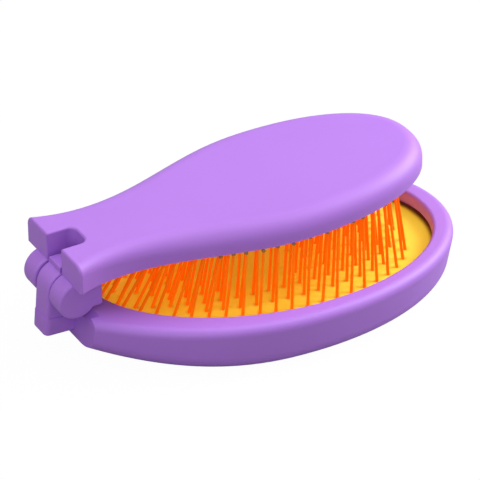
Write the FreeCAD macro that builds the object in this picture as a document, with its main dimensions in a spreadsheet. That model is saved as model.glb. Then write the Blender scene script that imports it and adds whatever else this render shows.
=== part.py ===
"""Folding hair brush: a dished oval head with a cushioned bristle field and a paddle handle
that folds over it on a fork hinge.

Millimetres. +X runs from the hinge to the far end, +Z is up, and the origin is the middle of
the head's flat back. Sketches of the head and the handle measure X from the hinge pin.
"""
import FreeCAD, Part
import math
import os

import Sketcher

DIMENSIONS = (
    # head
    ("head_length", 120.4),
    ("head_half_width", 36.8),
    ("head_widest", 59.1),
    ("shoulder_x", 2.8),
    ("shoulder_half_width", 14.7),
    ("shoulder_flare", 0.93),
    ("head_fullness", 2.055),
    ("rim_height", 14.7),
    ("rim_width", 6.1),
    ("rim_tip_width", 6.55),
    ("rim_round", 2.4),
    ("lip_round", 0.9),
    ("lip_height", 3.4),
    ("lip_undercut", 1.8),
    ("opening_start", 10.2),
    ("opening_widest", 62.4),
    ("opening_start_fullness", 1.9),
    ("opening_end_fullness", 2.1),
    ("back_rise", 4.3),
    ("back_flat_start", 52.8),
    ("back_round", 5.6),
    ("side_draft", 1.4),
    ("head_wall", 2.2),
    # cushion pad
    ("pad_level", 10.5),
    ("pad_thickness", 1.6),
    ("pad_arch_length", 1500.0),
    ("pad_arch_width", 350.0),
    ("pad_ledge", 2.6),
    # bristles
    ("field_start", 14.0),
    ("field_end_margin", 9.65),
    ("field_side_margin", 6.1),
    ("field_start_fullness", 1.75),
    ("field_end_fullness", 2.6),
    ("bristle_pitch", 4.7),
    ("bristle_spacing", 2.8),
    ("bare_middle", 56.3),
    ("bare_half_length", 14.0),
    ("bare_half_width", 14.0),
    ("bristle_length", 18.6),
    ("growth_start", 36.0),
    ("far_growth", 4.8),
    ("bristle_root_radius", 0.42),
    ("bristle_end_radius", 0.34),
    ("bristle_fit", 0.02),
    ("bead_radius", 0.55),
    ("anchor_radius", 0.9),
    ("anchor_drop", 1.2),
    ("row_lean", 8.0),
    ("lean_wobble", 1.6),
    # hinge
    ("pin_x", -57.25),
    ("pin_radius", 1.5),
    ("pin_chamfer", 0.3),
    ("pin_clearance", 0.05),
    ("plug_radius", 2.6),
    ("plug_thickness", 1.2),
    ("lug_half_width", 3.4),
    ("lug_radius", 5.6),
    ("lug_edge_round", 0.9),
    ("rib_front", 2.1),
    ("rib_back", 2.4),
    ("rib_half_width", 3.1),
    ("rib_reach", 6.8),
    ("rib_round", 0.3),
    ("foot_bottom", 6.0),
    ("foot_height", 5.4),
    ("foot_step", 0.3),
    ("foot_corner", 1.6),
    ("foot_edge_round", 0.8),
    ("knuckle_radius", 5.8),
    ("knuckle_inner", 3.95),
    ("knuckle_outer", 10.0),
    ("knuckle_clearance", 1.8),
    ("knuckle_edge_round", 0.8),
    ("scoop_depth", 2.3),
    # handle
    ("handle_length", 109.8),
    ("handle_half_width", 23.5),
    ("handle_widest", 64.9),
    ("fork_end", 1.75),
    ("fork_half_width", 14.8),
    ("waist_draw", 0.35),
    ("handle_fullness", 2.22),
    ("handle_lower", 5.36),
    ("handle_upper", 12.4),
    ("fork_upper", 13.5),
    ("upper_flat_start", 60.0),
    ("handle_round", 5.0),
    ("fork_round", 2.6),
    ("fork_edge_round", 0.6),
    ("slot_reach", 6.3),
    ("slot_round", 2.2),
    ("web_reach", 7.25),
    ("web_drop", 3.3),
    ("handle_wall", 2.2),
    ("cover_start", 12.0),
    ("cover_recess", 0.8),
    ("cover_thickness", 1.4),
    ("cover_ledge", 1.6),
    ("cover_gap", 0.1),
    ("handle_roof", 2.0),
    ("fold_angle", 4.7),
    # working allowance that carries every cut past the faces it opens
    ("overrun", 5.0),
    # closeness by which an edge or a face is known by its place
    ("edge_tolerance", 0.02),
)

# Lean of the bristles along the brush: shares of the head's length, then the angle in degrees
# by which the tips stand over towards the far end.
LEAN_SHARES = (0.0, 0.12, 0.15, 0.19, 0.25, 0.30, 0.35, 0.42, 0.62, 0.75, 0.83, 1.0)
LEAN_ANGLES = (33.0, 33.0, 28.0, 22.0, 15.0, 10.0, 4.5, 2.0, 2.0, -6.0, -11.0, -12.0)

# Bristle rows as shares of the field's half width, in the order in which they claim their places.
ROW_SHARES = (-1.0, 1.0, 0.0, -0.6, 0.6, -0.8, 0.8, -0.4, 0.4, -0.2, 0.2)

# Shares of the wobble by which single bristles stand off their row's lean, taken in turn.
WOBBLE_ALONG_SHARES = (0.1, -0.8, 0.6, 1.0, -0.3, 0.4, -1.0, 0.0, 0.7, -0.5, -0.1)
WOBBLE_ACROSS_SHARES = (-0.4, 0.9, 0.2, -0.7, 0.5, -1.0, 0.8)

NEAR_STEPS = 7
FAR_STEPS = 9
EGG_STEPS = 12
FIELD_STEPS = 280

# Step of the handle's outline at which its rounding has grown to its full radius.
GROWN_STEP = 4

# Share of the pitch by which each row stands on from the row before it.
ROW_STAGGER_SHARE = 0.35

doc = FreeCAD.newDocument("folding_brush")
sheet = doc.addObject("Spreadsheet::Sheet", "Dimensions")
for index, (alias, number) in enumerate(DIMENSIONS, start=1):
    sheet.set(f"A{index}", alias)
    sheet.set(f"B{index}", str(number))
    sheet.setAlias(f"B{index}", alias)
doc.recompute()

X_AXIS = FreeCAD.Vector(1, 0, 0)
Y_AXIS = FreeCAD.Vector(0, 1, 0)
Z_AXIS = FreeCAD.Vector(0, 0, 1)


def dim(alias):
    """Reads one driving dimension from the sheet."""
    return float(sheet.get(alias))


def bind(target, field, formula):
    """Binds a property to a formula over the sheet's cells, each written in angle brackets."""
    target.setExpression(field, formula.replace("<", "Dimensions.").replace(">", ""))


# Curves.


def neck_curve(x, start, start_width, slope, widest, width):
    """Half width between the hinge end and the widest place, a cubic with given end slopes."""
    span = widest - start
    t = (x - start) / span
    value = (2 * t**3 - 3 * t**2 + 1) * start_width
    value += (t**3 - 2 * t**2 + t) * span * slope
    return value + (3 * t**2 - 2 * t**3) * width


def half_outline(start, start_width, slope, widest, width, end, fullness):
    """Points of one side of an outline, from the hinge end round to the far tip."""
    points = []
    for step in range(NEAR_STEPS):
        x = start + (widest - start) * step / NEAR_STEPS
        points.append((x, neck_curve(x, start, start_width, slope, widest, width)))
    for step in range(FAR_STEPS + 1):
        angle = math.pi / 2 * (1 - step / FAR_STEPS)
        x = widest + (end - widest) * max(math.cos(angle), 0) ** (2 / fullness)
        points.append((x, width * max(math.sin(angle), 0) ** (2 / fullness)))
    return points


def shrunk(points, inset):
    """The same side of an outline drawn in by an even inset, up to the middle line."""
    result = []
    for index, (x, y) in enumerate(points[:-1]):
        before = points[max(index - 1, 0)]
        after = points[index + 1]
        run = after[0] - before[0]
        climb = after[1] - before[1]
        length = math.hypot(run, climb)
        result.append((x + inset * climb / length, y - inset * run / length))
    return result + [(points[-1][0] - inset, 0)]


def spline(points):
    """A smooth curve through points in the sketch plane."""
    curve = Part.BSplineCurve()
    curve.interpolate([FreeCAD.Vector(x, y, 0) for x, y in points])
    return curve


def mirrored_loop(side):
    """The whole outline curve, from the hinge end of one side round to the other."""
    lower = [(x, -y) for x, y in side]
    return spline(lower + list(reversed(side[:-1])))


def egg(start, widest, end, width, start_fullness=2.0, end_fullness=2.0):
    """Closed oval with its own reach and fullness on each side of the widest place."""
    points = []
    for step in range(4 * EGG_STEPS):
        angle = math.pi * step / (2 * EGG_STEPS)
        cosine = math.cos(angle)
        sine = math.sin(angle)
        fullness = end_fullness if cosine >= 0 else start_fullness
        reach = end - widest if cosine >= 0 else start - widest
        x = widest + reach * abs(cosine) ** (2 / fullness)
        y = math.copysign(width * abs(sine) ** (2 / fullness), sine)
        points.append(FreeCAD.Vector(x, y, 0))
    curve = Part.BSplineCurve()
    curve.interpolate(points, True)
    return curve


# Sketches and features of a body.

# The pin's level: its knuckles sink by the scoop's depth into the rim.
PIN_LEVEL = "<rim_height> + <knuckle_radius> + <knuckle_clearance> - <scoop_depth>"


def new_body(label, placement):
    """Starts a body at its place."""
    body = doc.addObject("PartDesign::Body", label)
    body.Label = label
    body.Placement = placement
    return body


def plane_sketch(body, role, curves, name):
    """Sketch of the given curves on one of the body's own origin planes."""
    sketch = body.newObject("Sketcher::SketchObject", name)
    planes = [plane for plane in body.Origin.OriginFeatures if plane.Role == role]
    sketch.AttachmentSupport = [(planes[0], "")]
    sketch.MapMode = "FlatFace"
    for curve in curves:
        number = sketch.addGeometry(curve, False)
        sketch.addConstraint(Sketcher.Constraint("Block", number))
    return sketch


def shift(sketch, axis, formula):
    """Moves a sketch from its plane's origin along one of its own axes, by a bound length."""
    bind(sketch, f".AttachmentOffset.Base.{axis}", formula)


def circle_sketch(body, radius_formula, name):
    """Sketch of one circle about the origin of the upright plane, with its radius bound to the sheet."""
    sketch = plane_sketch(body, "XZ_Plane", [], name)
    circle = Part.Circle(FreeCAD.Vector(), Z_AXIS, dim("pin_radius"))
    sketch.addGeometry(circle, False)
    sketch.addConstraint(Sketcher.Constraint("Coincident", 0, 3, -1, 1))
    sketch.addConstraint(Sketcher.Constraint("Radius", 0, dim("pin_radius")))
    bind(sketch, "Constraints[1]", radius_formula)
    return sketch


def chain(corners):
    """Line segments from corner to corner."""
    return [Part.LineSegment(a, b) for a, b in zip(corners, corners[1:])]


def hinge_edge(side):
    """Straight edge that closes an outline at its hinge end."""
    first_x, first_y = side[0]
    return Part.LineSegment(FreeCAD.Vector(first_x, first_y, 0), FreeCAD.Vector(first_x, -first_y, 0))


def tongue(open_x, closed_x, half_width, corner):
    """Rectangle whose two corners at the closed end are round."""
    toward = math.copysign(1, closed_x - open_x)
    turn_x = closed_x - toward * corner
    turn_y = half_width - corner
    mid_x = turn_x + toward * corner * math.cos(math.pi / 4)
    mid_y = turn_y + corner * math.sin(math.pi / 4)
    curves = []
    for side in (-1, 1):
        long_end = FreeCAD.Vector(turn_x, side * half_width, 0)
        short_end = FreeCAD.Vector(closed_x, side * turn_y, 0)
        curves.append(Part.LineSegment(FreeCAD.Vector(open_x, side * half_width, 0), long_end))
        curves.append(Part.Arc(long_end, FreeCAD.Vector(mid_x, side * mid_y, 0), short_end))
    for x, y in ((open_x, half_width), (closed_x, turn_y)):
        curves.append(Part.LineSegment(FreeCAD.Vector(x, -y, 0), FreeCAD.Vector(x, y, 0)))
    return curves


def pad(body, sketch, name, formula, midplane=False):
    """Adds material on a sketch, to a bound length."""
    feature = body.newObject("PartDesign::Pad", name)
    feature.Profile = sketch
    bind(feature, "Length", formula)
    feature.Midplane = midplane
    doc.recompute()
    return feature


def pocket(body, sketch, name, formula=None, midplane=False, backwards=False):
    """Cuts a sketch out of a body and makes sure that the cut took material away."""
    before = body.Shape.Volume
    feature = body.newObject("PartDesign::Pocket", name)
    feature.Profile = sketch
    if formula is None:
        feature.Type = "ThroughAll"
    else:
        bind(feature, "Length", formula)
    feature.Midplane = midplane
    feature.Reversed = backwards
    doc.recompute()
    if not body.Shape.Volume < before:
        raise RuntimeError(f"{name} cut nothing")
    return feature


def edges_where(shape, test):
    """Numbers of the edges that pass a test of the edge and its middle point."""
    numbers = []
    for number, edge in enumerate(shape.Edges, start=1):
        middle = edge.valueAt((edge.FirstParameter + edge.LastParameter) / 2)
        if test(edge, middle):
            numbers.append(number)
    return numbers


def named(numbers):
    """Names of edges by their numbers."""
    return [f"Edge{number}" for number in numbers]


def fillet(body, name, test, formula):
    """Rounds those edges of the body's last feature that pass a test."""
    base = body.Tip
    feature = body.newObject("PartDesign::Fillet", name)
    feature.Base = (base, named(edges_where(base.Shape, test)))
    bind(feature, "Radius", formula)
    doc.recompute()
    return feature


def curve_face(label, curves, placement):
    """A flat face inside the given curves, held as a shape for an extrusion."""
    feature = doc.addObject("Part::Feature", label)
    feature.Shape = Part.Face(Part.Wire([curve.toShape() for curve in curves]))
    feature.Placement = placement
    return feature


def extrusion(label, base, direction, forward, backward="0"):
    """Extrudes a face along a direction, with bound lengths each way."""
    feature = doc.addObject("Part::Extrusion", label)
    feature.Base = base
    feature.DirMode = "Custom"
    feature.Dir = direction
    feature.Solid = True
    bind(feature, "LengthFwd", forward)
    bind(feature, "LengthRev", backward)
    doc.recompute()
    return feature


def boolean(kind, label, base, tool):
    """A cut or a common of two objects."""
    feature = doc.addObject(f"Part::{kind}", label)
    feature.Base = base
    feature.Tool = tool
    doc.recompute()
    return feature


def fusion(label, pieces):
    """One solid made of touching or overlapping pieces."""
    feature = doc.addObject("Part::MultiFuse", label)
    feature.Shapes = pieces
    feature.Refine = True
    doc.recompute()
    return feature


# Head: a block that narrows towards its back, its hinge lug and the hollow behind the pad.

overrun = dim("overrun")
tolerance = dim("edge_tolerance")
pin_height = dim("rim_height") + dim("knuckle_radius") + dim("knuckle_clearance") - dim("scoop_depth")
opening_half_width = dim("head_half_width") - dim("rim_width")
opening_end = dim("head_length") - dim("rim_tip_width")
lip_level = dim("rim_height") - dim("lip_height")
head_place = FreeCAD.Placement(FreeCAD.Vector(dim("pin_x"), 0, 0), FreeCAD.Rotation())
head_body = new_body("head_body", head_place)


def head_outline(inset, name):
    """Sketch of the head's outline, drawn in by an inset."""
    side = half_outline(
        dim("shoulder_x"), dim("shoulder_half_width") - inset, dim("shoulder_flare"), dim("head_widest"),
        dim("head_half_width") - inset, dim("head_length") - inset, dim("head_fullness"),
    )
    return plane_sketch(head_body, "XY_Plane", [mirrored_loop(side), hinge_edge(side)], name)


back_outline = head_outline(dim("side_draft"), "back_outline")
rim_outline = head_outline(0, "rim_outline")
shift(rim_outline, "z", "<rim_height>")
head_block = head_body.newObject("PartDesign::AdditiveLoft", "head_block")
head_block.Profile = back_outline
head_block.Sections = [rim_outline]
head_block.Ruled = True
doc.recompute()


def back_arc(lift):
    """The head's back towards the hinge: a curve tangent to the flat, raised by a wall."""
    run = dim("back_flat_start") - dim("shoulder_x")
    bend = (run**2 + dim("back_rise") ** 2) / (2 * dim("back_rise"))
    x_end = dim("shoulder_x") - overrun
    ends = []
    for x in (x_end, (x_end + dim("back_flat_start")) / 2, dim("back_flat_start")):
        offset = dim("back_flat_start") - x
        ends.append((x, bend - math.sqrt(bend**2 - offset**2) + lift))
    return [FreeCAD.Vector(x, z, 0) for x, z in ends]


arc_start, arc_middle, arc_end = back_arc(0)
below = [FreeCAD.Vector(end.x, -overrun, 0) for end in (arc_end, arc_start)]
rise_curves = [Part.Arc(arc_start, arc_middle, arc_end)] + chain([arc_end, *below, arc_start])
rise_sketch = plane_sketch(head_body, "XZ_Plane", rise_curves, "back_line")
pocket(head_body, rise_sketch, "back_cut", midplane=True)


def on_back_edge(edge, middle):
    """True on the edges between the back and the sides, the tip's included."""
    across = edge.BoundBox.XLength < tolerance
    upright = edge.BoundBox.ZLength > dim("back_round")
    return middle.z < dim("rim_height") / 2 and not across and not upright


def on_rim_edge(edge, middle):
    """True on the long upper edge of the outside."""
    return abs(middle.z - dim("rim_height")) < tolerance and edge.Length > dim("head_length")


fillet(head_body, "back_rounding", on_back_edge, "<back_round>")
fillet(head_body, "rim_rounding", on_rim_edge, "<rim_round>")

scoop = circle_sketch(head_body, "<knuckle_radius> + <knuckle_clearance>", "scoop")
shift(scoop, "y", PIN_LEVEL)
pocket(head_body, scoop, "knuckle_scoop", "2 * (<knuckle_outer> + <knuckle_clearance>)", midplane=True)

lug_body = new_body("lug_body", head_place)
lug_radius = dim("lug_radius")
lug_low = dim("foot_bottom") + dim("foot_height") / 2
lug_top = FreeCAD.Vector(0, pin_height + lug_radius, 0)
lug_corners = [(lug_radius, pin_height), (lug_radius, lug_low)]
lug_corners += [(-lug_radius, lug_low), (-lug_radius, pin_height)]
lug_ends = [FreeCAD.Vector(x, z, 0) for x, z in lug_corners]
lug_curves = [Part.Arc(lug_ends[0], lug_top, lug_ends[-1])] + chain(lug_ends)
lug_sketch = plane_sketch(lug_body, "XZ_Plane", lug_curves, "lug_side")
pad(lug_body, lug_sketch, "lug_block", "2 * <lug_half_width>", midplane=True)


def on_lug_side(edge, middle):
    """True on the edges of the lug's two sides, its hidden lower end left out."""
    return abs(abs(middle.y) - dim("lug_half_width")) < tolerance and middle.z > lug_low + tolerance


fillet(lug_body, "lug_rounding", on_lug_side, "<lug_edge_round>")

rib_top = pin_height + dim("rib_reach")
rib_corners = [(-dim("rib_front"), pin_height), (dim("rib_back"), pin_height)]
rib_corners += [(dim("rib_back"), rib_top), (-dim("rib_front"), rib_top), rib_corners[0]]
rib_curves = chain([FreeCAD.Vector(x, z, 0) for x, z in rib_corners])
rib_sketch = plane_sketch(lug_body, "XZ_Plane", rib_curves, "rib_side")
pad(lug_body, rib_sketch, "lug_rib", "2 * <rib_half_width>", midplane=True)
fillet(lug_body, "rib_rounding", lambda edge, middle: middle.z > rib_top - tolerance, "<rib_round>")

bore = circle_sketch(lug_body, "<pin_radius> + <pin_clearance>", "lug_bore")
shift(bore, "y", PIN_LEVEL)
pocket(lug_body, bore, "lug_hole", midplane=True)

foot_body = new_body("foot_body", head_place)
foot_curves = tongue(lug_radius, -lug_radius - dim("foot_step"), dim("lug_half_width") + dim("foot_step"),
                     dim("foot_corner"))
foot_sketch = plane_sketch(foot_body, "XY_Plane", foot_curves, "foot_outline")
shift(foot_sketch, "z", "<foot_bottom>")
pad(foot_body, foot_sketch, "foot_block", "<foot_height>")


def on_foot_bottom(edge, middle):
    """True on the lower edges of the foot that stand clear of the head."""
    return abs(middle.z - dim("foot_bottom")) < tolerance and middle.x < lug_radius - tolerance


fillet(foot_body, "foot_rounding", on_foot_bottom, "<foot_edge_round>")

head_blank = fusion("head_blank", [head_body, lug_body, foot_body])


def head_egg(label, grow, level):
    """Oval face of the opening, grown or drawn in evenly, at a level."""
    curve = egg(dim("opening_start") - grow, dim("opening_widest"), opening_end + grow,
                opening_half_width + grow, dim("opening_start_fullness"), dim("opening_end_fullness"))
    place = FreeCAD.Placement(FreeCAD.Vector(dim("pin_x"), 0, level), FreeCAD.Rotation())
    return curve_face(label, [curve], place)


def pad_torus(label, drop):
    """Crowned surface of the pad, the outer side of a ring whose axis lies along the width."""
    torus = doc.addObject("Part::Torus", label)
    bind(torus, "Radius1", "<pad_arch_length> - <pad_arch_width>")
    bind(torus, "Radius2", f"<pad_arch_width> - {drop}")
    torus.Placement = FreeCAD.Placement(
        FreeCAD.Vector(dim("pin_x") + dim("opening_widest"), 0, dim("pad_level") - dim("pad_arch_length")),
        FreeCAD.Rotation(X_AXIS, 90))
    doc.recompute()
    return torus


under_torus = pad_torus("pad_under_side", "<pad_thickness>")
upper_torus = pad_torus("pad_upper_side", "0")

mouth = extrusion("rim_mouth", head_egg("mouth_outline", 0, lip_level), Z_AXIS, "<lip_height> + <overrun>")
seat_prism = extrusion("seat_prism", head_egg("seat_outline", dim("lip_undercut"), 0), Z_AXIS,
                       "<rim_height> - <lip_height>")
seat = boolean("Cut", "pad_seat", seat_prism, under_torus)
hollow_outline = head_egg("hollow_outline", dim("lip_undercut") - dim("pad_ledge"), 0)
hollow_prism = extrusion("hollow_prism", hollow_outline, Z_AXIS, "<rim_height> - <lip_height>")

floor_start, floor_middle, floor_end = back_arc(dim("head_wall"))
above = [floor_end, FreeCAD.Vector(dim("head_length"), floor_end.y, 0),
         FreeCAD.Vector(dim("head_length"), dim("rim_height"), 0),
         FreeCAD.Vector(floor_start.x, dim("rim_height"), 0), floor_start]
floor_curves = [Part.Arc(floor_start, floor_middle, floor_end)] + chain(above)
upright = FreeCAD.Placement(FreeCAD.Vector(dim("pin_x"), 0, 0), FreeCAD.Rotation(X_AXIS, 90))
floor_side = curve_face("floor_side", floor_curves, upright)
floor_block = extrusion("floor_block", floor_side, Y_AXIS, "<head_half_width>", "<head_half_width>")
hollow = boolean("Common", "pad_hollow", hollow_prism, floor_block)

cut_mouth = boolean("Cut", "head_less_mouth", head_blank, mouth)
cut_seat = boolean("Cut", "head_less_seat", cut_mouth, seat)
head_raw = boolean("Cut", "head_less_hollow", cut_seat, hollow)


def on_lip(edge, middle):
    """True on the inner upper edge of the rim."""
    level = abs(middle.z - dim("rim_height")) < tolerance
    inside = edge.BoundBox.YLength < 2 * opening_half_width + dim("rim_round")
    return level and inside and edge.Length > dim("head_length")


head_shell = doc.addObject("Part::Fillet", "head_shell")
head_shell.Base = head_raw
lip_edges = edges_where(head_raw.Shape, on_lip)
head_shell.Edges = [(number, dim("lip_round"), dim("lip_round")) for number in lip_edges]
doc.recompute()

# Bristles: places in rows, then anchors, shafts and beads along leaning axes.

field_half_width = opening_half_width - dim("field_side_margin")
field_end = opening_end - dim("field_end_margin")


def field_width(x):
    """Half width of the bristle field at a place along the brush."""
    widest = dim("opening_widest")
    reach, fullness = field_end - widest, dim("field_end_fullness")
    if x < widest:
        reach, fullness = widest - dim("field_start"), dim("field_start_fullness")
    ratio = min(abs(x - widest) / reach, 1)
    return field_half_width * (1 - ratio**fullness) ** (1 / fullness)


def pad_height(x, y):
    """Level of the pad's upper face, measured from the pin along the brush."""
    along = x - dim("opening_widest")
    across = dim("pad_arch_width") - math.sqrt(dim("pad_arch_width") ** 2 - y**2)
    ring = dim("pad_arch_length") - across
    return dim("pad_level") - dim("pad_arch_length") + math.sqrt(ring**2 - along**2)


def in_bare_middle(x, y):
    """True on the oval in the middle of the pad that has no bristles."""
    along = (x - dim("bare_middle")) / dim("bare_half_length")
    return math.hypot(along, y / dim("bare_half_width")) < 1


def row_places(share, phase_share, taken):
    """Places of one row at an even pitch, both ways from the widest place, clear of other rows."""
    widest = dim("opening_widest")
    pitch = dim("bristle_pitch")
    places = []
    for end, first_share in ((field_end, phase_share), (dim("field_start"), 1 - phase_share)):
        travelled = pitch * (1 - first_share)
        previous = (widest, share * field_half_width)
        for step in range(FIELD_STEPS + 1):
            x = widest + (end - widest) * step / FIELD_STEPS
            point = (x, share * field_width(x))
            travelled += math.dist(point, previous)
            previous = point
            if travelled < pitch:
                continue
            travelled -= pitch
            clear = all(math.dist(point, other) > dim("bristle_spacing") for other in taken)
            if clear and not in_bare_middle(*point):
                places.append(point)
                taken.append(point)
    return sorted(places)


def lean_at(x):
    """Lean along the brush, in degrees."""
    share = x / dim("head_length")
    for left in range(len(LEAN_SHARES) - 1):
        low_share, high_share = LEAN_SHARES[left], LEAN_SHARES[left + 1]
        if low_share <= share <= high_share:
            part_way = (share - low_share) / (high_share - low_share)
            return LEAN_ANGLES[left] + part_way * (LEAN_ANGLES[left + 1] - LEAN_ANGLES[left])
    return LEAN_ANGLES[-1]


def bristle_axis(x, y, turn):
    """Root point on the pad, direction and length of one bristle, by its turn in its row."""
    wobble_along = dim("lean_wobble") * WOBBLE_ALONG_SHARES[turn % len(WOBBLE_ALONG_SHARES)]
    wobble_across = dim("lean_wobble") * WOBBLE_ACROSS_SHARES[turn % len(WOBBLE_ACROSS_SHARES)]
    along = math.radians(lean_at(x) + wobble_along)
    across = math.radians(-y / field_half_width * dim("row_lean") + wobble_across)
    direction = FreeCAD.Vector(math.tan(along), math.tan(across), 1)
    direction.normalize()
    growth_share = max(x - dim("growth_start"), 0) / (field_end - dim("growth_start"))
    length = dim("bristle_length") + dim("far_growth") * growth_share
    return FreeCAD.Vector(dim("pin_x") + x, y, pad_height(x, y)), direction, length


def bristle_solids(root, direction, length):
    """Anchored shaft and bead of one bristle, meeting on one flat face, and the hole it fills."""
    below_pad = dim("pad_thickness") / direction.z + dim("anchor_drop")
    base = root - direction * below_pad
    root_radius = dim("bristle_root_radius")
    end_radius = dim("bristle_end_radius")
    bead = dim("bead_radius")
    tip = root + direction * (length - bead)
    sunk = math.sqrt(bead**2 - end_radius**2)
    straight = Part.makeCylinder(root_radius, below_pad, base, direction)
    taper = Part.makeCone(root_radius, end_radius, length - bead - sunk, root, direction)
    anchor = Part.makeSphere(dim("anchor_radius"), base, Z_AXIS)
    shaft = straight.fuse([taper, anchor]).removeSplitter()
    ball = Part.makeSphere(bead, tip, direction)
    trim = Part.makeCylinder(bead, bead, tip - direction * (sunk + bead), direction)
    hole_radius = root_radius + dim("bristle_fit")
    hole = Part.makeCylinder(hole_radius, below_pad + dim("pad_thickness"), base, direction)
    return shaft, ball.cut(trim), hole


taken_places = []
rows = {}
for share in ROW_SHARES:
    phase_share = sorted(ROW_SHARES).index(share) * ROW_STAGGER_SHARE % 1
    rows[share] = row_places(share, phase_share, taken_places)

nodes = {}
holes = []
for number, share in enumerate(sorted(ROW_SHARES), start=1):
    shafts, beads = [], []
    for turn, (x, y) in enumerate(rows[share], start=number):
        shaft, bead, hole = bristle_solids(*bristle_axis(x, y, turn))
        shafts += shaft.Solids
        beads += bead.Solids
        holes.append(hole)
    for stem, solids in (("bristle_row", shafts), ("bristle_tips", beads)):
        row = doc.addObject("Part::Feature", f"{stem}_{number:02d}")
        row.Shape = Part.makeCompound(solids)
        nodes[row.Label] = row

pad_prism = extrusion("pad_prism", head_egg("pad_outline", dim("lip_undercut"), 0), Z_AXIS, "<rim_height>")
pad_upper = boolean("Common", "pad_upper", pad_prism, upper_torus)
pad_sheet = boolean("Cut", "pad_sheet", pad_upper, under_torus)
cushion_pad = doc.addObject("Part::Feature", "cushion_pad")
cushion_pad.Shape = pad_sheet.Shape.cut(holes)

# Handle: paddle with a fork and two knuckles, tilted about the pin.

handle_side = half_outline(
    -dim("fork_end"), dim("fork_half_width"), -dim("waist_draw"), dim("handle_widest"),
    dim("handle_half_width"), dim("handle_length"), dim("handle_fullness"),
)
handle_loop = mirrored_loop(handle_side)
grown_x, grown_y = handle_side[GROWN_STEP]
splits = [handle_loop.FirstParameter]
splits += [handle_loop.parameter(FreeCAD.Vector(grown_x, y, 0)) for y in (-grown_y, grown_y)]
splits.append(handle_loop.LastParameter)
handle_curves = [hinge_edge(handle_side)]
for first, last in zip(splits, splits[1:]):
    stretch = handle_loop.copy()
    stretch.segment(first, last)
    handle_curves.append(stretch)

handle_blank = new_body("handle_blank", FreeCAD.Placement())
handle_sketch = plane_sketch(handle_blank, "XY_Plane", handle_curves, "handle_outline")
shift(handle_sketch, "z", "<handle_lower>")
pad(handle_blank, handle_sketch, "handle_block", "<fork_upper> - <handle_lower> + <overrun>")

rise = dim("fork_upper") - dim("handle_upper")
flat_start = dim("upper_flat_start")
upper_points = []
for step in range(NEAR_STEPS + 1):
    x = -overrun + (flat_start + overrun) * step / NEAR_STEPS
    upper_points.append((x, dim("handle_upper") + rise * (1 - x / flat_start) ** 2))
for step in range(1, NEAR_STEPS + 1):
    span = dim("handle_length") + overrun - flat_start
    upper_points.append((flat_start + span * step / NEAR_STEPS, dim("handle_upper")))
ceiling = dim("fork_upper") + 2 * overrun
ends = [upper_points[-1], (upper_points[-1][0], ceiling), (upper_points[0][0], ceiling), upper_points[0]]
upper_curves = [spline(upper_points)] + chain([FreeCAD.Vector(x, z, 0) for x, z in ends])
upper_sketch = plane_sketch(handle_blank, "XZ_Plane", upper_curves, "handle_top_line")
pocket(handle_blank, upper_sketch, "handle_top", midplane=True)


def on_handle_top(edge, middle):
    """True on the upper edges of the paddle's sides and far end."""
    level = edge.BoundBox.ZLength < dim("fork_round")
    along = min(edge.BoundBox.XLength, edge.BoundBox.YLength) > tolerance
    return level and along and middle.z > (dim("handle_lower") + dim("handle_upper")) / 2


def top_radius(point):
    """Radius of the handle's upper rounding, smaller at the fork."""
    return dim("fork_round") if point.x < -dim("fork_end") + tolerance else dim("handle_round")


handle_rounding = doc.addObject("Part::Fillet", "handle_rounding")
handle_rounding.Base = handle_blank
# The rounding runs as one chain from prong to prong, so the radii swap ends on its second side.
rounded = []
for number in edges_where(handle_blank.Shape, on_handle_top):
    edge = handle_blank.Shape.Edges[number - 1]
    radii = [top_radius(edge.firstVertex().Point), top_radius(edge.lastVertex().Point)]
    if edge.CenterOfMass.y > 0:
        radii.reverse()
    rounded.append((number, *radii))
handle_rounding.Edges = rounded
doc.recompute()

fold = FreeCAD.Placement(FreeCAD.Vector(dim("pin_x"), 0, pin_height),
                         FreeCAD.Rotation(Y_AXIS, -dim("fold_angle")))
handle_body = new_body("handle_body", fold)
handle_body.BaseFeature = handle_rounding
doc.recompute()

slot_curves = tongue(-overrun, dim("slot_reach"), dim("knuckle_inner"), dim("slot_round"))
slot_sketch = plane_sketch(handle_body, "XY_Plane", slot_curves, "fork_slot")
pocket(handle_body, slot_sketch, "slot_cut", midplane=True)


def on_fork_edge(edge, middle):
    """True on the edges round the prongs' ends and along the top of the slot, the lower ones left out."""
    box = edge.BoundBox
    at_end = box.XMax < -dim("fork_end") + tolerance
    along_slot = box.XMax < dim("slot_reach") + tolerance and abs(middle.y) < dim("knuckle_inner") + tolerance
    above = middle.z > dim("handle_lower") + dim("fork_edge_round")
    upright = box.ZLength > dim("fork_round")
    return above and (at_end or (along_slot and not upright))


fillet(handle_body, "fork_rounding", on_fork_edge, "<fork_edge_round>")


def underside_sketch(body, inset, name, level):
    """Sketch of the handle's outline drawn in by an inset, with a straight hinge end, at a level."""
    side = [point for point in shrunk(handle_side, inset) if point[0] > dim("cover_start") + inset]
    sketch = plane_sketch(body, "XY_Plane", [mirrored_loop(side), hinge_edge(side)], name)
    shift(sketch, "z", level)
    return sketch


seat_sketch = underside_sketch(handle_body, dim("handle_wall"), "cover_seat", "<handle_lower>")
pocket(handle_body, seat_sketch, "cover_seat_cut", "<cover_recess> + <cover_thickness>", backwards=True)
hollow_sketch = underside_sketch(handle_body, dim("handle_wall") + dim("cover_ledge"), "handle_hollow",
                                 "<handle_lower>")
pocket(handle_body, hollow_sketch, "handle_hollow_cut", "<handle_upper> - <handle_roof> - <handle_lower>",
       backwards=True)


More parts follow.
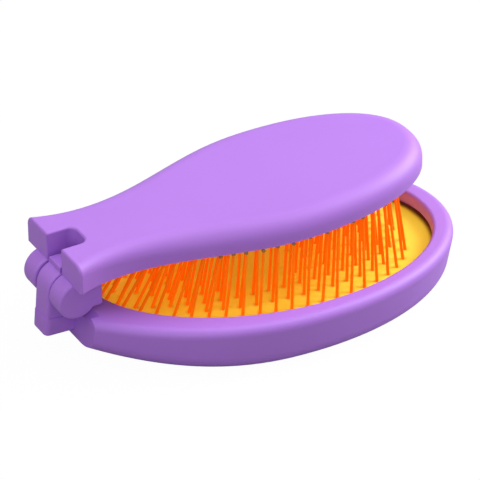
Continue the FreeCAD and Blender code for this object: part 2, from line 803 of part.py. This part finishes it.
def knuckle_body(name, start, middle):
    """Rounded barrel and the upright web that joins it to the handle, from a start across the brush."""
    body = new_body(name, fold)
    barrel = circle_sketch(body, "<knuckle_radius>", f"{name}_barrel")
    shift(barrel, "z", start)
    pad(body, barrel, f"{name}_round", "<knuckle_outer> - <knuckle_inner>")
    fillet(body, f"{name}_rounding", lambda edge, place: edge.Closed, "<knuckle_edge_round>")
    web_curves = tongue(dim("fork_edge_round") - dim("fork_end"), dim("web_reach"),
                        (dim("knuckle_outer") - dim("knuckle_inner")) / 2, dim("knuckle_edge_round"))
    web = plane_sketch(body, "XY_Plane", web_curves, f"{name}_web_outline")
    shift(web, "y", middle)
    shift(web, "z", "-<web_drop>")
    pad(body, web, f"{name}_web", "<web_drop> + (<handle_lower> + <handle_upper>) / 2")
    pin_hole = circle_sketch(body, "<pin_radius>", f"{name}_bore")
    shift(pin_hole, "z", "<knuckle_outer> - <plug_thickness>")
    pocket(body, pin_hole, f"{name}_hole")
    return body


front_knuckle = knuckle_body("front_knuckle", "<knuckle_inner>", "-(<knuckle_outer> + <knuckle_inner>) / 2")
rear_knuckle = knuckle_body("rear_knuckle", "-<knuckle_outer>", "(<knuckle_outer> + <knuckle_inner>) / 2")
plug_hole = circle_sketch(rear_knuckle, "<plug_radius>", "plug_seat")
shift(plug_hole, "z", "<plug_thickness> - <knuckle_outer>")
pocket(rear_knuckle, plug_hole, "plug_counterbore")

handle_shell = fusion("handle_shell", [handle_body, front_knuckle, rear_knuckle])

handle_cover = new_body("handle_cover", fold)
cover_sketch = underside_sketch(handle_cover, dim("handle_wall") + dim("cover_gap"), "cover_plate",
                                "<handle_lower> + <cover_recess>")
pad(handle_cover, cover_sketch, "cover_sheet", "<cover_thickness>")

hinge_pin = new_body("hinge_pin", fold)
pin_sketch = circle_sketch(hinge_pin, "<pin_radius>", "pin_round")
pin_rod = pad(hinge_pin, pin_sketch, "pin_rod", "2 * (<knuckle_outer> - <plug_thickness>)", midplane=True)
chamfer = hinge_pin.newObject("PartDesign::Chamfer", "pin_ends")
chamfer.Base = (pin_rod, named(edges_where(pin_rod.Shape, lambda edge, middle: edge.Closed)))
bind(chamfer, "Size", "<pin_chamfer>")
doc.recompute()

pin_plug = new_body("pin_plug", fold)
plug_sketch = circle_sketch(pin_plug, "<plug_radius>", "plug_round")
shift(plug_sketch, "z", "-<knuckle_outer>")
pad(pin_plug, plug_sketch, "plug_disc", "<plug_thickness>")

for piece in (head_shell, cushion_pad, handle_shell, handle_cover, hinge_pin, pin_plug):
    nodes[piece.Label] = piece

# Checks, then one file for each piece.

doc.recompute()
for item in doc.Objects:
    if {"Invalid", "Error"} & set(item.State):
        raise RuntimeError(f"{item.Label} failed: {item.State}")
os.makedirs("parts", exist_ok=True)
for label, piece in nodes.items():
    if piece.Shape.isNull() or not piece.Shape.isValid():
        raise RuntimeError(f"{label} has no valid shape")
    piece.Shape.exportStep(f"parts/{label}.step")
    box = piece.Shape.BoundBox
    print(label, len(piece.Shape.Solids), round(piece.Shape.Volume, 1), box)
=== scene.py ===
"""Looks of a folding hair brush: finishes for its moulded pieces, its rubber pad and its studio."""
import logging
import math
from dataclasses import dataclass, field
from enum import Enum
from typing import Callable, Iterable, Optional

import bpy
from mathutils import Matrix, Vector


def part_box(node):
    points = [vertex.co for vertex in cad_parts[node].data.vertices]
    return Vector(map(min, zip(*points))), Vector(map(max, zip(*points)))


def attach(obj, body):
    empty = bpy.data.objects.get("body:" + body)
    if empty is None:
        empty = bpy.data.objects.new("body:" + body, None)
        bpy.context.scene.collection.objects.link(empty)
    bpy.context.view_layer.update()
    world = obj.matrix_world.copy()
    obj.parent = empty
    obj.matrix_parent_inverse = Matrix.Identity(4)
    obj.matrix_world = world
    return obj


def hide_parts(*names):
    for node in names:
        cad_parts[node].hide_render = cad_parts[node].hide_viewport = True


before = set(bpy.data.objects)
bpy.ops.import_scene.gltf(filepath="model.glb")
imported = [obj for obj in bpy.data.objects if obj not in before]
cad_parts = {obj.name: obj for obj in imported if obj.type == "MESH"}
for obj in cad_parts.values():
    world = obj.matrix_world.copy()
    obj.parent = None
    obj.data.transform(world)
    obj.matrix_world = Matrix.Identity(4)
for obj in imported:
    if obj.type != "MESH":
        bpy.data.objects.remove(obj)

LOG = logging.getLogger("brush")
MM = 0.001
RGB = tuple[float, float, float]
Point = tuple[float, float, float]
Cell = tuple[int, int]
BLACK: RGB = (0.0, 0.0, 0.0)
WHITE: RGB = (1.0, 1.0, 1.0)
# Mesh layer of painted shade: darkening in the dimples round the bristle roots and a painted shadow along the
# pad's edge.
SHADE_LAYER = "root_shade"


class Slot(Enum):
    """Material slots of the record."""

    SHELL = "shell_purple"
    PAD = "pad_yellow"
    BRISTLE = "bristle_orange"
    TIP = "tip_amber"
    PIN = "pin_steel"


# Node groups shared by the finishes


def rgba(tone: RGB) -> tuple[float, float, float, float]:
    """A tone with full cover."""
    return (*tone, 1.0)


def plug(tree: bpy.types.NodeTree, value: object, socket: bpy.types.NodeSocket) -> None:
    """Links a socket into an input, or sets a plain value there.

    Args:
        tree: tree of both sockets.
        value: socket, number or colour.
        socket: input that takes it.
    """
    if isinstance(value, bpy.types.NodeSocket):
        tree.links.new(value, socket)
    else:
        socket.default_value = value


def new_group(name: str, inputs: dict[str, float], outputs: Iterable[str]) -> bpy.types.NodeTree:
    """Makes an empty shader group with number sockets.

    Args:
        name: name of the group.
        inputs: input names with their usual values.
        outputs: output names.

    Returns:
        The group, with its input and output nodes in place.
    """
    tree = bpy.data.node_groups.new(name, "ShaderNodeTree")
    for label, value in inputs.items():
        socket = tree.interface.new_socket(label, in_out="INPUT", socket_type="NodeSocketFloat")
        socket.default_value = value
    for label in outputs:
        tree.interface.new_socket(label, in_out="OUTPUT", socket_type="NodeSocketFloat")
    tree.nodes.new("NodeGroupInput").name = "in"
    tree.nodes.new("NodeGroupOutput").name = "out"
    return tree


def math_node(
    tree: bpy.types.NodeTree, operation: str, first: object, second: object
) -> bpy.types.NodeSocket:
    """Adds a math node whose operands are sockets or numbers.

    Args:
        tree: tree to add to.
        operation: Blender's name of the operation.
        first: socket or number.
        second: socket or number.

    Returns:
        The node's result.
    """
    node = tree.nodes.new("ShaderNodeMath")
    node.operation = operation
    plug(tree, first, node.inputs[0])
    plug(tree, second, node.inputs[1])
    return node.outputs[0]


def noise_node(tree: bpy.types.NodeTree, scale: object, detail: float) -> bpy.types.NodeSocket:
    """Adds a noise that reads Object coordinates.

    Args:
        tree: tree to add to.
        scale: socket or number for the noise's scale.
        detail: octaves of the noise.

    Returns:
        The noise value, about 0 to 1.
    """
    place = tree.nodes.new("ShaderNodeTexCoord")
    noise = tree.nodes.new("ShaderNodeTexNoise")
    noise.inputs["Detail"].default_value = detail
    plug(tree, scale, noise.inputs["Scale"])
    tree.links.new(place.outputs["Object"], noise.inputs["Vector"])
    return noise.outputs["Fac"]


GRAIN_GROUP = "moulded_grain"
GRAIN_DETAIL = 2.0
FLOW_DETAIL = 3.0
NOISE_MIDDLE = 0.5


def moulded_grain() -> bpy.types.NodeTree:
    """Group for moulded skins: spark-eroded grain, cloudy flow and a roughness that follows both.

    Returns:
        The group, made once.
    """
    made = bpy.data.node_groups.get(GRAIN_GROUP)
    if made:
        return made
    tree = new_group(
        GRAIN_GROUP,
        {"Grain Scale": 2600.0, "Flow Scale": 45.0, "Roughness": 0.42, "Roughness Spread": 0.06},
        ("Height", "Roughness", "Flow"),
    )
    source, sink = tree.nodes["in"].outputs, tree.nodes["out"].inputs
    grain = noise_node(tree, source["Grain Scale"], GRAIN_DETAIL)
    flow = noise_node(tree, source["Flow Scale"], FLOW_DETAIL)
    tree.links.new(grain, sink["Height"])
    tree.links.new(flow, sink["Flow"])
    halves = [math_node(tree, "MULTIPLY", noise, NOISE_MIDDLE) for noise in (grain, flow)]
    centred = math_node(tree, "SUBTRACT", math_node(tree, "ADD", *halves), NOISE_MIDDLE)
    swing = math_node(tree, "MULTIPLY", centred, source["Roughness Spread"])
    tree.links.new(math_node(tree, "ADD", source["Roughness"], swing), sink["Roughness"])
    return tree


# Finishes


@dataclass(frozen=True)
class GrainedFinish:
    """What every finish has: a tone, and a roughness that follows the grain."""

    name: str
    tone: RGB
    roughness: float
    roughness_spread: float
    grain_scale: float
    flow_scale: float

    def material(self) -> bpy.types.Material:
        """Builds the material.

        Returns:
            The material, made once.
        """
        made = bpy.data.materials.get(self.name)
        if made:
            return made
        material = bpy.data.materials.new(self.name)
        material.use_nodes = True
        tree = material.node_tree
        shader = tree.nodes["Principled BSDF"]
        grain = tree.nodes.new("ShaderNodeGroup")
        grain.node_tree = moulded_grain()
        grain.inputs["Grain Scale"].default_value = self.grain_scale
        grain.inputs["Flow Scale"].default_value = self.flow_scale
        grain.inputs["Roughness"].default_value = self.roughness
        grain.inputs["Roughness Spread"].default_value = self.roughness_spread
        tree.links.new(grain.outputs["Roughness"], shader.inputs["Roughness"])
        self.colour(tree, shader, grain)
        return material

    def colour(self, tree: bpy.types.NodeTree, shader: bpy.types.Node, grain: bpy.types.Node) -> None:
        """Gives the shader its colour and what else the finish has, in each finish's own way."""
        raise NotImplementedError


@dataclass(frozen=True)
class MouldedFinish(GrainedFinish):
    """A moulded skin: two close tones that drift over the piece, a fine grain, a soft gloss, and where set a
    painted glow and painted shade.
    """

    deep_tone: RGB
    grain_depth: float
    deep_flow: float = 0.3
    full_flow: float = 0.7
    specular: float = 0.5
    # Emission of a part that is no lamp: a painted glow that brightens it in shade.
    glow: float = 0.0
    painted_glow_tone: RGB = WHITE
    # Mesh layer and dark tone of painted shade.
    shade_layer: Optional[str] = None
    shade_tone: RGB = BLACK

    def colour(self, tree: bpy.types.NodeTree, shader: bpy.types.Node, grain: bpy.types.Node) -> None:
        """Lays on the two tones, the grain's relief, the gloss, the painted glow and any painted shade.

        Args:
            tree: the material's tree.
            shader: its shader.
            grain: its grain group.
        """
        ramp = tree.nodes.new("ShaderNodeValToRGB")
        deep, full = ramp.color_ramp.elements
        deep.position, deep.color = self.deep_flow, rgba(self.deep_tone)
        full.position, full.color = self.full_flow, rgba(self.tone)
        tree.links.new(grain.outputs["Flow"], ramp.inputs["Fac"])
        skin, glow = ramp.outputs["Color"], rgba(self.painted_glow_tone)
        # Painted shade darkens both the skin and its painted glow.
        if self.shade_layer:
            skin = self._shaded(tree, skin, self.shade_tone)
            glow = self._shaded(tree, glow, BLACK)
        plug(tree, skin, shader.inputs["Base Color"])
        plug(tree, glow, shader.inputs["Emission Color"])
        shader.inputs["Emission Strength"].default_value = self.glow
        shader.inputs["Specular IOR Level"].default_value = self.specular
        bump = tree.nodes.new("ShaderNodeBump")
        bump.inputs["Strength"].default_value = 1.0
        bump.inputs["Distance"].default_value = self.grain_depth
        tree.links.new(grain.outputs["Height"], bump.inputs["Height"])
        tree.links.new(bump.outputs["Normal"], shader.inputs["Normal"])

    def _shaded(self, tree: bpy.types.NodeTree, bare: object, dark: RGB) -> bpy.types.NodeSocket:
        """Darkens a colour by the mesh's layer of painted shade.

        Args:
            tree: the material's tree.
            bare: colour without the layer, as a socket or a value.
            dark: tone under the full painted shade.

        Returns:
            The darkened colour.
        """
        layer = tree.nodes.new("ShaderNodeAttribute")
        layer.attribute_name = self.shade_layer
        mix = tree.nodes.new("ShaderNodeMix")
        mix.data_type = "RGBA"
        tree.links.new(layer.outputs["Fac"], mix.inputs["Factor"])
        plug(tree, bare, mix.inputs["A"])
        mix.inputs["B"].default_value = rgba(dark)
        return mix.outputs["Result"]


@dataclass(frozen=True)
class DrawnSteel(GrainedFinish):
    """Drawn pin wire, whose gloss varies with the grain."""

    def colour(self, tree: bpy.types.NodeTree, shader: bpy.types.Node, grain: bpy.types.Node) -> None:
        """Makes the shader bare metal."""
        shader.inputs["Base Color"].default_value = rgba(self.tone)
        shader.inputs["Metallic"].default_value = 1.0


FINISHES: dict[Slot, GrainedFinish] = {
    Slot.SHELL: MouldedFinish(
        name="satin_purple_plastic", tone=(0.44, 0.187, 0.74), deep_tone=(0.425, 0.177, 0.72),
        roughness=0.5, roughness_spread=0.08, grain_scale=2400.0, grain_depth=0.000012, flow_scale=30.0,
    ),
    # The pad's emission is a painted glow that brightens it in the shade under the handle; its shade layer
    # paints shade in the root dimples and a shadow along its edge.
    Slot.PAD: MouldedFinish(
        name="yellow_rubber", tone=(1.0, 0.79, 0.07), deep_tone=(0.98, 0.75, 0.06),
        roughness=0.5, roughness_spread=0.1, grain_scale=1800.0, grain_depth=0.000015, flow_scale=60.0,
        specular=0.3, glow=0.19, painted_glow_tone=(1.0, 0.68, 0.0),
        shade_layer=SHADE_LAYER, shade_tone=(0.16, 0.025, 0.012),
    ),
    # The nylon's emission is a painted glow that keeps the strands bright in the shade.
    Slot.BRISTLE: MouldedFinish(
        name="orange_nylon", tone=(1.0, 0.19, 0.004), deep_tone=(0.97, 0.16, 0.003),
        roughness=0.5, roughness_spread=0.08, grain_scale=3000.0, grain_depth=0.000006, flow_scale=160.0,
        specular=0.06, glow=0.3, painted_glow_tone=(1.0, 0.17, 0.0),
    ),
    Slot.TIP: MouldedFinish(
        name="amber_bead", tone=(0.42, 0.24, 0.03), deep_tone=(0.34, 0.18, 0.02),
        roughness=0.22, roughness_spread=0.06, grain_scale=2600.0, grain_depth=0.000003, flow_scale=300.0,
    ),
    Slot.PIN: DrawnSteel(
        name="drawn_steel", tone=(0.62, 0.62, 0.64),
        roughness=0.28, roughness_spread=0.2, grain_scale=1800.0, flow_scale=300.0,
    ),
}


def dress(piece: bpy.types.Object, material: bpy.types.Material) -> None:
    """Gives a piece one material in all its slots, and reports it.

    Args:
        piece: object to dress.
        material: finish to use.
    """
    if not piece.material_slots:
        piece.data.materials.append(material)
    for slot in piece.material_slots:
        slot.material = material
    LOG.info("dressed %s in %s", piece.name, material.name)


# Modelling helpers


def deselect() -> None:
    """Leaves nothing selected and nothing in edit mode."""
    if bpy.context.object and bpy.context.object.mode != "OBJECT":
        bpy.ops.object.mode_set(mode="OBJECT")
    bpy.ops.object.select_all(action="DESELECT")


def pick(piece: bpy.types.Object) -> None:
    """Makes a piece the only selected one, and the active one.

    Args:
        piece: object to pick.
    """
    deselect()
    piece.select_set(True)
    bpy.context.view_layer.objects.active = piece


def settle(piece: bpy.types.Object) -> None:
    """Moves a piece's place, turn and scale into its mesh."""
    pick(piece)
    bpy.ops.object.transform_apply(location=True, rotation=True, scale=True)


def in_edit_mode(piece: bpy.types.Object, work: Callable[[], None]) -> None:
    """Runs operators on a piece in edit mode.

    Args:
        piece: object to edit.
        work: what to do there.
    """
    pick(piece)
    bpy.ops.object.mode_set(mode="EDIT")
    work()
    bpy.ops.object.mode_set(mode="OBJECT")


# Sub-assemblies


def eased(share: float) -> float:
    """A share from 0 to 1, eased in and out."""
    return share * share * (3.0 - 2.0 * share)


@dataclass
class CushionPad:
    """The crowned rubber sheet that the bristles stand in, in metres in the brush's frame."""

    outline_gap: float = 0.05 * MM
    crown_gap: float = 0.02 * MM
    widest_share: float = 0.5035
    start_fullness: float = 1.9
    end_fullness: float = 2.1
    arch_length: float = 1500.0 * MM
    arch_width: float = 350.0 * MM
    thickness: float = 1.5 * MM
    cell: float = 0.6 * MM
    trim_share: float = 0.75
    smooth_angle: float = math.radians(50.0)
    root_band: float = 0.45 * MM
    root_cell: float = 2.0 * MM
    root_spacing: float = 1.6 * MM
    dimple_reach: float = 1.7 * MM
    dimple_depth: float = 0.22 * MM
    # Strength of the painted shade in the root dimples and of the painted shadow along the outline, and the
    # outer share of the outline that this shadow covers.
    root_shade: float = 0.55
    edge_shade: float = 0.97
    edge_share: float = 0.05
    edge_fade_share: float = 0.025
    start_x: float = field(init=False)
    end_x: float = field(init=False)
    half_width: float = field(init=False)
    widest_x: float = field(init=False)
    level: float = field(init=False)
    roots: list[Vector] = field(init=False, default_factory=list)

    def __post_init__(self) -> None:
        """Takes the outline and the level from the CAD pad."""
        low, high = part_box("cushion_pad")
        self.start_x = low[0] + self.outline_gap
        self.end_x = high[0] - self.outline_gap
        self.half_width = high[1] - self.outline_gap
        self.widest_x = low[0] + self.widest_share * (high[0] - low[0])
        self.level = high[2] - self.crown_gap

    def height(self, x: float, y: float) -> float:
        """Level of the upper face, without its dimples.

        Args:
            x: place along the brush.
            y: place across it.

        Returns:
            The level in metres.
        """
        across = self.arch_width - math.sqrt(self.arch_width**2 - y**2)
        ring = self.arch_length - across
        return self.level - self.arch_length + math.sqrt(ring**2 - (x - self.widest_x) ** 2)

    def reach(self, x: float, y: float) -> float:
        """How far out a point lies, as a share of the outline.

        Args:
            x: place along the brush.
            y: place across it.

        Returns:
            0 at the middle and 1 on the outline.
        """
        far = x > self.widest_x
        span = self.end_x - self.widest_x if far else self.widest_x - self.start_x
        power = self.end_fullness if far else self.start_fullness
        return (abs((x - self.widest_x) / span) ** power + abs(y / self.half_width) ** power) ** (1.0 / power)

    def find_roots(self, shafts: Iterable[bpy.types.Object]) -> None:
        """Reads where the bristles leave the pad.

        Args:
            shafts: the rows of bristle shafts.
        """
        places: dict[Cell, list[Vector]] = {}
        for row in shafts:
            for vertex in row.data.vertices:
                point = vertex.co
                if abs(point.z - self.height(point.x, point.y)) < self.root_band:
                    key = (round(point.x / self.root_cell), round(point.y / self.root_cell))
                    places.setdefault(key, []).append(point.copy())
        for group in places.values():
            middle = sum(group, Vector()) / len(group)
            if all((root - middle).length >= self.root_spacing for root in self.roots):
                self.roots.append(middle)

    def build(self) -> bpy.types.Object:
        """Models the pad as one crowned sheet with a dimple round each bristle.

        Returns:
            The finished piece.
        """
        deselect()
        length = self.end_x - self.start_x
        across = 2 * self.half_width
        bpy.ops.mesh.primitive_grid_add(
            x_subdivisions=round(length / self.cell), y_subdivisions=round(across / self.cell), size=1.0,
            location=((self.start_x + self.end_x) / 2, 0.0, self.level),
        )
        pad = bpy.context.object
        pad.name = pad.data.name = "bristle_cushion"
        pad.scale = (length, across, 1.0)
        settle(pad)
        self._trim(pad)
        self._crown(pad)
        wall = pad.modifiers.new("wall", "SOLIDIFY")
        wall.thickness = self.thickness
        wall.offset = -1.0
        bpy.ops.object.modifier_apply(modifier=wall.name)
        in_edit_mode(pad, lambda: bpy.ops.mesh.normals_make_consistent(inside=False))
        bpy.ops.object.shade_smooth_by_angle(angle=self.smooth_angle)
        return pad

    def _trim(self, pad: bpy.types.Object) -> None:
        """Cuts the grid to the outline and draws its edge onto it.

        Args:
            pad: the flat grid.
        """
        slack = self.trim_share * self.cell / self.half_width
        in_edit_mode(pad, lambda: bpy.ops.mesh.select_all(action="DESELECT"))
        for vertex in pad.data.vertices:
            vertex.select = self.reach(vertex.co.x, vertex.co.y) > 1.0 + slack
        in_edit_mode(pad, lambda: bpy.ops.mesh.delete(type="VERT"))
        for vertex in pad.data.vertices:
            out = self.reach(vertex.co.x, vertex.co.y)
            if out > 1.0 - slack:
                vertex.co.x = self.widest_x + (vertex.co.x - self.widest_x) / out
                vertex.co.y /= out

    def _cell_of(self, x: float, y: float) -> Cell:
        """Square of the dimples' grid that a point lies in."""
        return int(x // self.dimple_reach), int(y // self.dimple_reach)

    def _crown(self, pad: bpy.types.Object) -> None:
        """Lays the sheet onto its crown, draws it in round every root, and paints shade into the dimples and
        a shadow along the edge.

        Args:
            pad: the trimmed grid.
        """
        shade = pad.data.attributes.new(SHADE_LAYER, "FLOAT", "POINT")
        cells: dict[Cell, list[Vector]] = {}
        for root in self.roots:
            cells.setdefault(self._cell_of(root.x, root.y), []).append(root)
        for vertex in pad.data.vertices:
            x, y = vertex.co.x, vertex.co.y
            column, line = self._cell_of(x, y)
            near = [
                math.hypot(x - root.x, y - root.y)
                for i in (-1, 0, 1) for j in (-1, 0, 1)
                for root in cells.get((column + i, line + j), ())
            ]
            nearest = min(near, default=self.dimple_reach)
            pull = eased(max(1.0 - nearest / self.dimple_reach, 0.0))
            vertex.co.z = self.height(x, y) - self.dimple_depth * pull
            # Painted shade in each root dimple, and a painted shadow along the outline where the rim's lip
            # overhangs the pad.
            inward = 1.0 - self.reach(x, y)
            edge = min(max((self.edge_share - inward) / self.edge_fade_share, 0.0), 1.0)
            shade.data[vertex.index].value = max(self.root_shade * pull**2, self.edge_shade * edge)

    def finish(self, pad: bpy.types.Object) -> None:
        """Dresses the pad and puts it in the CAD pad's place.

        Args:
            pad: the modelled pad.
        """
        dress(pad, FINISHES[Slot.PAD].material())
        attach(pad, "head")
        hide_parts("cushion_pad")


@dataclass
class MouldedShells:
    """The moulded head, handle, cover and plug, and the pin, whose shapes come from the construction."""

    shells: tuple[str, ...] = ("head_shell", "handle_shell", "handle_cover", "pin_plug")
    pin: str = "hinge_pin"

    def dress_nodes(self) -> None:
        """Gives the shells their finish and the pin its steel."""
        slots = {node: Slot.SHELL for node in self.shells} | {self.pin: Slot.PIN}
        for node, slot in slots.items():
            dress(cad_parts[node], FINISHES[slot].material())


@dataclass
class BristleField:
    """Rows of shafts and their beads."""

    count: int = 11

    def rows(self, stem: str) -> list[bpy.types.Object]:
        """Rows of one kind, by the stem of their names."""
        return [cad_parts[f"{stem}_{number:02d}"] for number in range(1, self.count + 1)]

    def shafts(self) -> list[bpy.types.Object]:
        """Rows of shafts."""
        return self.rows("bristle_row")

    def tips(self) -> list[bpy.types.Object]:
        """Rows of beads."""
        return self.rows("bristle_tips")

    def dress_nodes(self) -> None:
        """Gives shafts and beads their finishes."""
        for slot, rows in ((Slot.BRISTLE, self.shafts()), (Slot.TIP, self.tips())):
            for row in rows:
                dress(row, FINISHES[slot].material())


# Studio


@dataclass(frozen=True)
class SoftBox:
    """One square lamp that faces the brush, in metres and watts."""

    name: str
    place: Point
    size: float
    power: float

    def hang(self, target: Vector) -> None:
        """Adds the lamp.

        Args:
            target: point that it faces.
        """
        lamp = bpy.data.lights.new(self.name, "AREA")
        lamp.shape = "SQUARE"
        lamp.size = self.size
        lamp.energy = self.power
        box = bpy.data.objects.new(self.name, lamp)
        bpy.context.collection.objects.link(box)
        box.location = self.place
        box.rotation_mode = "QUATERNION"
        box.rotation_quaternion = (target - Vector(self.place)).to_track_quat("-Z", "Y")


@dataclass
class Studio:
    """Pale floor, soft boxes and the camera of the photograph, in metres, degrees and pixels."""

    target: Point = (1.25 * MM, 0.0, 16.0 * MM)
    yaw: float = 33.40
    elevation: float = 32.72
    roll: float = 4.6
    distance: float = 1066.2 * MM
    pixels_per_metre: float = 3698.8
    image_width: float = 480.0
    centre_offset: tuple[float, float] = (9.65, 3.25)
    sensor_width: float = 36.0
    nearest: float = 0.01
    farthest: float = 20.0
    fill_level: float = 0.03
    floor_size: float = 8.0
    floor_drop: float = 0.2 * MM
    floor_tone: RGB = (0.45, 0.45, 0.45)
    floor_roughness: float = 0.9
    floor_glow: float = 1.03
    floor_glow_share: float = 0.95
    boxes: tuple[SoftBox, ...] = (
        SoftBox("overhead", (0.07, 0.03, 0.6), 0.7, 2.05),
        SoftBox("far_end", (0.56, -0.04, 0.36), 0.4, 4.7),
        SoftBox("hinge_end", (-0.5, 0.1, 0.44), 0.4, 1.15),
        SoftBox("front", (-0.37, -0.56, 0.43), 0.4, 1.6),
    )

    def camera(self) -> None:
        """Sets up the camera at the photograph's angle."""
        yaw, elevation, roll = (math.radians(angle) for angle in (self.yaw, self.elevation, self.roll))
        right = Vector((math.cos(yaw), -math.sin(yaw), 0.0))
        lean = math.sin(elevation)
        up = Vector((math.sin(yaw) * lean, math.cos(yaw) * lean, math.cos(elevation)))
        ahead = up.cross(right)
        side = right * math.cos(roll) + up * math.sin(roll)
        top = up * math.cos(roll) - right * math.sin(roll)
        aim = Vector(self.target)
        aim -= side * (self.centre_offset[0] / self.pixels_per_metre)
        aim += top * (self.centre_offset[1] / self.pixels_per_metre)
        lens = bpy.data.cameras.new("camera")
        lens.sensor_width = self.sensor_width
        lens.lens = self.sensor_width * self.pixels_per_metre * self.distance / self.image_width
        lens.clip_start, lens.clip_end = self.nearest, self.farthest
        camera = bpy.data.objects.new("camera", lens)
        bpy.context.collection.objects.link(camera)
        turn = Matrix((side, top, -ahead)).transposed().to_4x4()
        camera.matrix_world = Matrix.Translation(aim - ahead * self.distance) @ turn
        bpy.context.scene.camera = camera

    def world(self) -> None:
        """Dim even light, with white where the camera looks and in reflections."""
        world = bpy.data.worlds.new("studio")
        bpy.context.scene.world = world
        world.use_nodes = True
        tree = world.node_tree
        fill = tree.nodes["Background"]
        fill.inputs["Color"].default_value = rgba(WHITE)
        path = tree.nodes.new("ShaderNodeLightPath")
        seen = math_node(tree, "MAXIMUM", path.outputs["Is Camera Ray"], path.outputs["Is Glossy Ray"])
        extra = math_node(tree, "MULTIPLY", seen, 1.0 - self.fill_level)
        tree.links.new(math_node(tree, "ADD", extra, self.fill_level), fill.inputs["Strength"])

    def lights(self) -> None:
        """Hangs the soft boxes."""
        for box in self.boxes:
            box.hang(Vector(self.target))

    def floor(self) -> None:
        """Lays a floor that the camera sees as white, with a faint shadow."""
        deselect()
        bpy.ops.mesh.primitive_plane_add(size=self.floor_size, location=(0.0, 0.0, -self.floor_drop))
        floor = bpy.context.object
        floor.name = "floor"
        settle(floor)
        material = bpy.data.materials.new("pale_floor")
        material.use_nodes = True
        tree = material.node_tree
        paint = tree.nodes["Principled BSDF"]
        paint.inputs["Base Color"].default_value = rgba(self.floor_tone)
        paint.inputs["Roughness"].default_value = self.floor_roughness
        paint.inputs["Specular IOR Level"].default_value = 0.0
        glow = tree.nodes.new("ShaderNodeEmission")
        glow.inputs["Strength"].default_value = self.floor_glow
        path = tree.nodes.new("ShaderNodeLightPath")
        seen = math_node(tree, "MULTIPLY", path.outputs["Is Camera Ray"], self.floor_glow_share)
        blend = tree.nodes.new("ShaderNodeMixShader")
        tree.links.new(seen, blend.inputs["Fac"])
        tree.links.new(paint.outputs["BSDF"], blend.inputs[1])
        tree.links.new(glow.outputs["Emission"], blend.inputs[2])
        tree.links.new(blend.outputs["Shader"], tree.nodes["Material Output"].inputs["Surface"])
        dress(floor, material)

    def build(self) -> None:
        """Sets up the whole studio."""
        bpy.context.scene.view_settings.view_transform = "Standard"
        self.camera()
        self.world()
        self.lights()
        self.floor()


def main() -> None:
    """Builds and dresses the pieces in order."""
    logging.basicConfig(level=logging.INFO, format="%(name)s: %(message)s")
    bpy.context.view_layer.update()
    Studio().build()
    MouldedShells().dress_nodes()
    bristles = BristleField()
    bristles.dress_nodes()
    cushion = CushionPad()
    cushion.find_roots(bristles.shafts())
    LOG.info("found %d bristle roots", len(cushion.roots))
    pad = cushion.build()
    cushion.finish(pad)
    LOG.info("built %s", pad.name)


if __name__ == "__main__":
    main()
